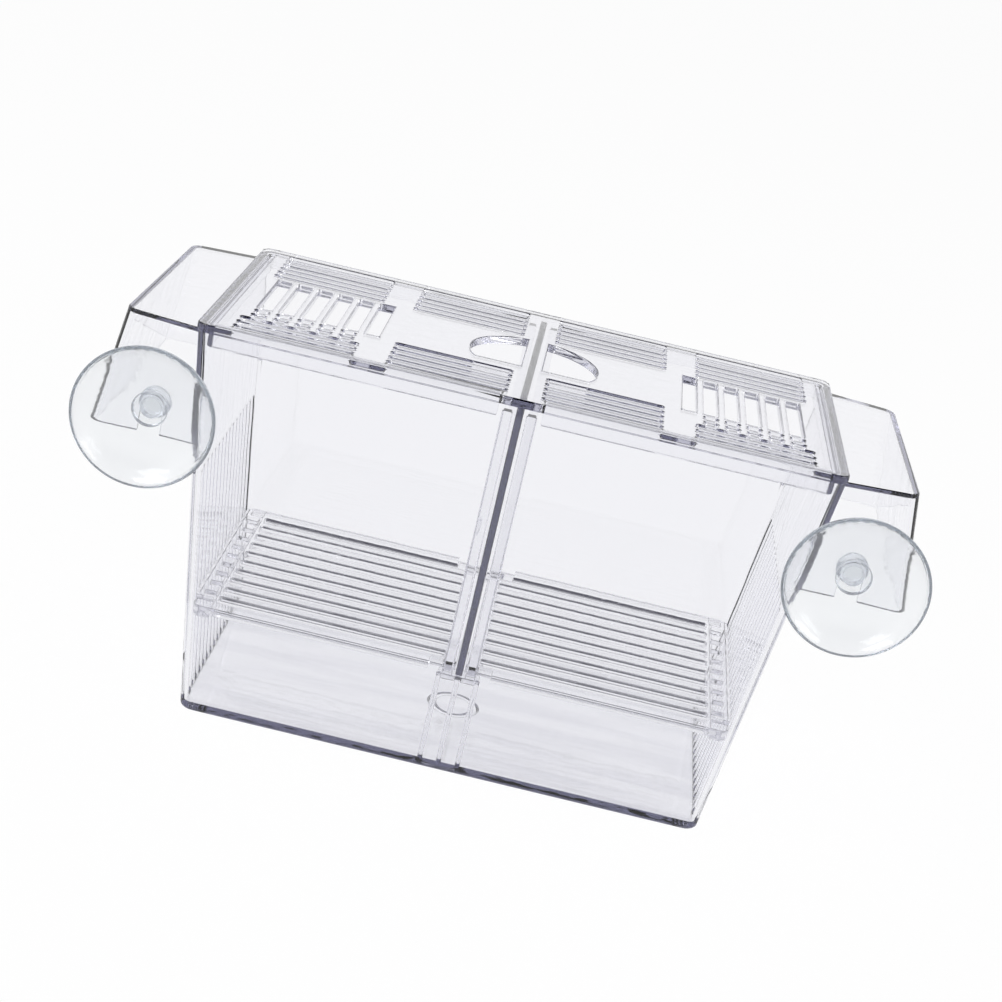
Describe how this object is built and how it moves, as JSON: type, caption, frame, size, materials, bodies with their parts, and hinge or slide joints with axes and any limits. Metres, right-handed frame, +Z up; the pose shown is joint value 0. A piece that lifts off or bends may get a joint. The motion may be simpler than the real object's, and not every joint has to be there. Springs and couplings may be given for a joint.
{
  "type": "fish breeding box",
  "caption": "Clear two-room fish breeding box with a slotted lid, a lift-out divider, slotted floor grids and suction cups on hollow side ears.",
  "frame": {"origin": "centre of the box's flat underside", "axes": "+X to the right along the box's length, +Y to the back, away from the suction cups, +Z up towards the lid"},
  "size_m": [0.2104, 0.0887, 0.1042],
  "materials": {
    "clear_box": "clear moulded plastic, gloss",
    "clear_lid": "clear moulded plastic, gloss",
    "clear_divider": "clear moulded plastic, gloss",
    "clear_grid": "clear moulded plastic, gloss",
    "soft_vinyl": "soft clear vinyl, satin"
  },
  "bodies": {
    "tank": {"outer_box": "clear_box"},
    "lid": {"lid": "clear_lid"},
    "divider": {"divider": "clear_divider"},
    "left_grid": {"left_grid": "clear_grid"},
    "right_grid": {"right_grid": "clear_grid"},
    "left_cup": {"left_cup": "soft_vinyl"},
    "right_cup": {"right_cup": "soft_vinyl"}
  },
  "joints": [
    {"name": "lid_lift", "type": "slide", "parent": "tank", "child": "lid", "axis": [0, 0, 1], "range_m": [0, 0.18]},
    {"name": "divider_lift", "type": "slide", "parent": "tank", "child": "divider", "axis": [0, 0, 1], "range_m": [0, 0.09]},
    {"name": "left_grid_lift", "type": "slide", "parent": "tank", "child": "left_grid", "axis": [0, 0, 1], "range_m": [0, 0.081]},
    {"name": "right_grid_lift", "type": "slide", "parent": "tank", "child": "right_grid", "axis": [0, 0, 1], "range_m": [0, 0.081]},
    {"name": "left_cup_slide", "type": "slide", "parent": "tank", "child": "left_cup", "axis": [0, 0, -1], "range_m": [0, 0.014]},
    {"name": "right_cup_slide", "type": "slide", "parent": "tank", "child": "right_cup", "axis": [0, 0, -1], "range_m": [0, 0.014]}
  ],
  "couplings": [
    {"joint": "divider_lift", "follows": "lid_lift", "ratio": 0.5},
    {"joint": "left_grid_lift", "follows": "lid_lift", "ratio": 0.45},
    {"joint": "right_grid_lift", "follows": "lid_lift", "ratio": 0.45}
  ]
}
